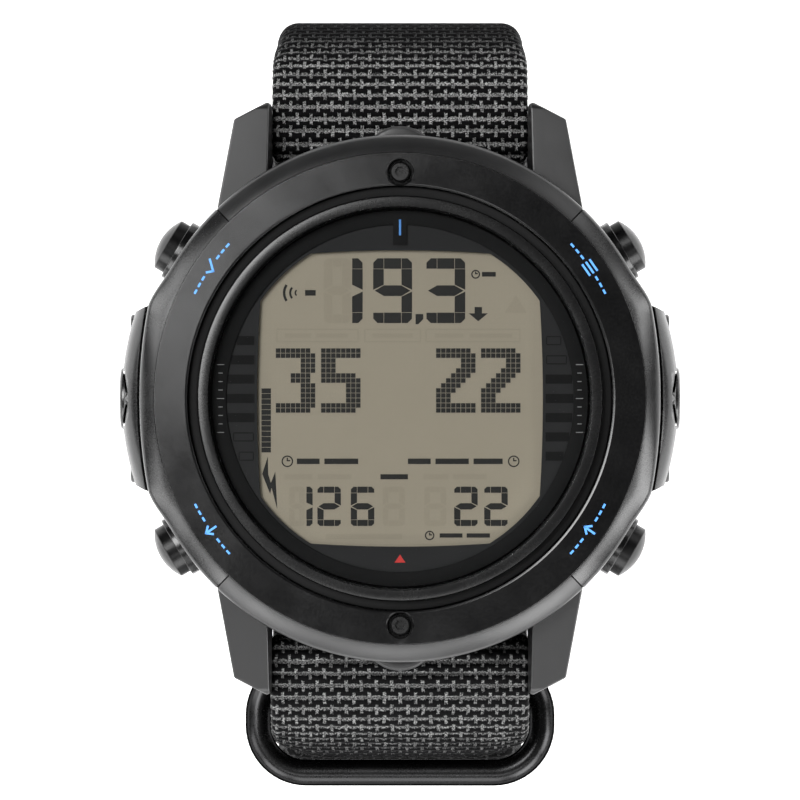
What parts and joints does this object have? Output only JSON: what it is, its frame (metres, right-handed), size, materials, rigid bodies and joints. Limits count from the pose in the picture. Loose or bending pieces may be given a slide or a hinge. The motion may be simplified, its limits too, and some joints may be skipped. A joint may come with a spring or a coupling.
{
  "type": "dive computer",
  "caption": "Round wrist dive computer with a flat LCD, sprung edge buttons and a buckled webbing strap that runs under the case and through a wire ring.",
  "frame": {"origin": "bottom centre of the bounding box: the floor under the closed strap loop", "axes": "+Z out of the display, up; +Y towards 12 o'clock; +X towards 3 o'clock"},
  "size_m": [0.0528, 0.0737, 0.0579],
  "materials": {
    "black_metal": "satin black coating on metal",
    "steel": "satin steel",
    "black_plastic": "moulded",
    "rubber": "matte",
    "glass": "clear, bevelled edge",
    "mask": "printed dark grey and black",
    "lcd": "reflective display with dark segments",
    "diffuser": "white",
    "circuit_board": "green solder mask",
    "copper": "bare wire",
    "brass": "satin",
    "battery_can": "nickel plated",
    "webbing": "black nylon webbing with a grey fleck"
  },
  "bodies": {
    "case": {"case_body": "black_metal", "lug_bridge_top": "black_metal", "lug_bridge_bottom": "black_metal", "bezel": "black_metal", "side_cover_left": "black_metal", "side_cover_right": "black_metal", "button_collar_upper_right": "black_metal", "button_spring_upper_right": "steel", "button_collar_upper_left": "black_metal", "button_spring_upper_left": "steel", "button_collar_lower_left": "black_metal", "button_spring_lower_left": "steel", "button_collar_lower_right": "black_metal", "button_spring_lower_right": "steel", "bezel_screw_top": "steel", "bezel_screw_bottom": "steel", "back_cover": "steel", "pressure_sensor": "steel", "battery_contact_plus": "steel", "battery_contact_minus": "steel", "spring_bar_top": "steel", "spring_bar_bottom": "steel", "back_cover_screw_1": "steel", "back_cover_screw_2": "steel", "back_cover_screw_3": "steel", "back_cover_screw_4": "steel", "side_cover_screw_left_top": "steel", "side_cover_screw_left_bottom": "steel", "side_cover_screw_right_top": "steel", "side_cover_screw_right_bottom": "steel", "lens": "glass", "lens_gasket": "rubber", "back_cover_o_ring": "rubber", "zebra_strip_top": "rubber", "zebra_strip_bottom": "rubber", "dial_mask": "mask", "lcd_panel": "lcd", "backlight_panel": "diffuser", "lcd_frame": "black_plastic", "battery_holder": "black_plastic", "main_board": "circuit_board", "antenna_coil": "copper", "piezo_buzzer": "brass", "battery": "battery_can", "strap_main": "webbing", "strap_under": "webbing"},
    "button_upper_right": {"button_cap_upper_right": "black_metal"},
    "button_upper_left": {"button_cap_upper_left": "black_metal"},
    "button_lower_left": {"button_cap_lower_left": "black_metal"},
    "button_lower_right": {"button_cap_lower_right": "black_metal"},
    "tip_upper_right": {"spring_bar_tip_upper_right": "steel"},
    "tip_upper_left": {"spring_bar_tip_upper_left": "steel"},
    "tip_lower_left": {"spring_bar_tip_lower_left": "steel"},
    "tip_lower_right": {"spring_bar_tip_lower_right": "steel"},
    "ring": {"strap_ring": "black_metal"},
    "keeper_lower": {"keeper_ring_lower": "black_metal"},
    "keeper_upper": {"keeper_ring_upper": "black_metal"},
    "buckle": {"buckle_frame": "black_metal"},
    "prong": {"buckle_prong": "steel"}
  },
  "joints": [
    {"name": "press_upper_right", "type": "slide", "parent": "case", "child": "button_upper_right", "axis": [-0.8616, -0.5075, 0], "range_m": [0, 0.0008], "stiffness_N_per_m": 800, "springref_m": -0.001, "deforming": ["button_spring_upper_right"]},
    {"name": "press_upper_left", "type": "slide", "parent": "case", "child": "button_upper_left", "axis": [0.8616, -0.5075, 0], "range_m": [0, 0.0008], "stiffness_N_per_m": 800, "springref_m": -0.001, "deforming": ["button_spring_upper_left"]},
    {"name": "press_lower_left", "type": "slide", "parent": "case", "child": "button_lower_left", "axis": [0.8616, 0.5075, 0], "range_m": [0, 0.0008], "stiffness_N_per_m": 800, "springref_m": -0.001, "deforming": ["button_spring_lower_left"]},
    {"name": "press_lower_right", "type": "slide", "parent": "case", "child": "button_lower_right", "axis": [-0.8616, 0.5075, 0], "range_m": [0, 0.0008], "stiffness_N_per_m": 800, "springref_m": -0.001, "deforming": ["button_spring_lower_right"]},
    {"name": "retract_upper_right", "type": "slide", "parent": "case", "child": "tip_upper_right", "axis": [-1, 0, 0], "range_m": [0, 0.0016], "stiffness_N_per_m": 500, "springref_m": -0.001},
    {"name": "retract_upper_left", "type": "slide", "parent": "case", "child": "tip_upper_left", "axis": [1, 0, 0], "range_m": [0, 0.0016], "stiffness_N_per_m": 500, "springref_m": -0.001},
    {"name": "retract_lower_left", "type": "slide", "parent": "case", "child": "tip_lower_left", "axis": [1, 0, 0], "range_m": [0, 0.0016], "stiffness_N_per_m": 500, "springref_m": -0.001},
    {"name": "retract_lower_right", "type": "slide", "parent": "case", "child": "tip_lower_right", "axis": [-1, 0, 0], "range_m": [0, 0.0016], "stiffness_N_per_m": 500, "springref_m": -0.001},
    {"name": "ring_hinge", "type": "hinge", "parent": "case", "child": "ring", "pos_m": [0, -0.0258, 0.03695], "axis": [1, 0, 0], "range_deg": [-4, 4]},
    {"name": "keeper_lower_slide", "type": "slide", "parent": "case", "child": "keeper_lower", "axis": [0, 0.8434, 0.5373], "range_m": [-0.0003, 0.0003]},
    {"name": "keeper_upper_slide", "type": "slide", "parent": "case", "child": "keeper_upper", "axis": [0, 0.6947, 0.7193], "range_m": [-0.0003, 0.0005]},
    {"name": "buckle_hinge", "type": "hinge", "parent": "case", "child": "buckle", "pos_m": [0, 0.0142, 0.005], "axis": [1, 0, 0], "range_deg": [-1.2, 1.2]},
    {"name": "prong_hinge", "type": "hinge", "parent": "buckle", "child": "prong", "pos_m": [0, 0.0142, 0.005], "axis": [1, 0, 0], "range_deg": [-1, 10]}
  ]
}
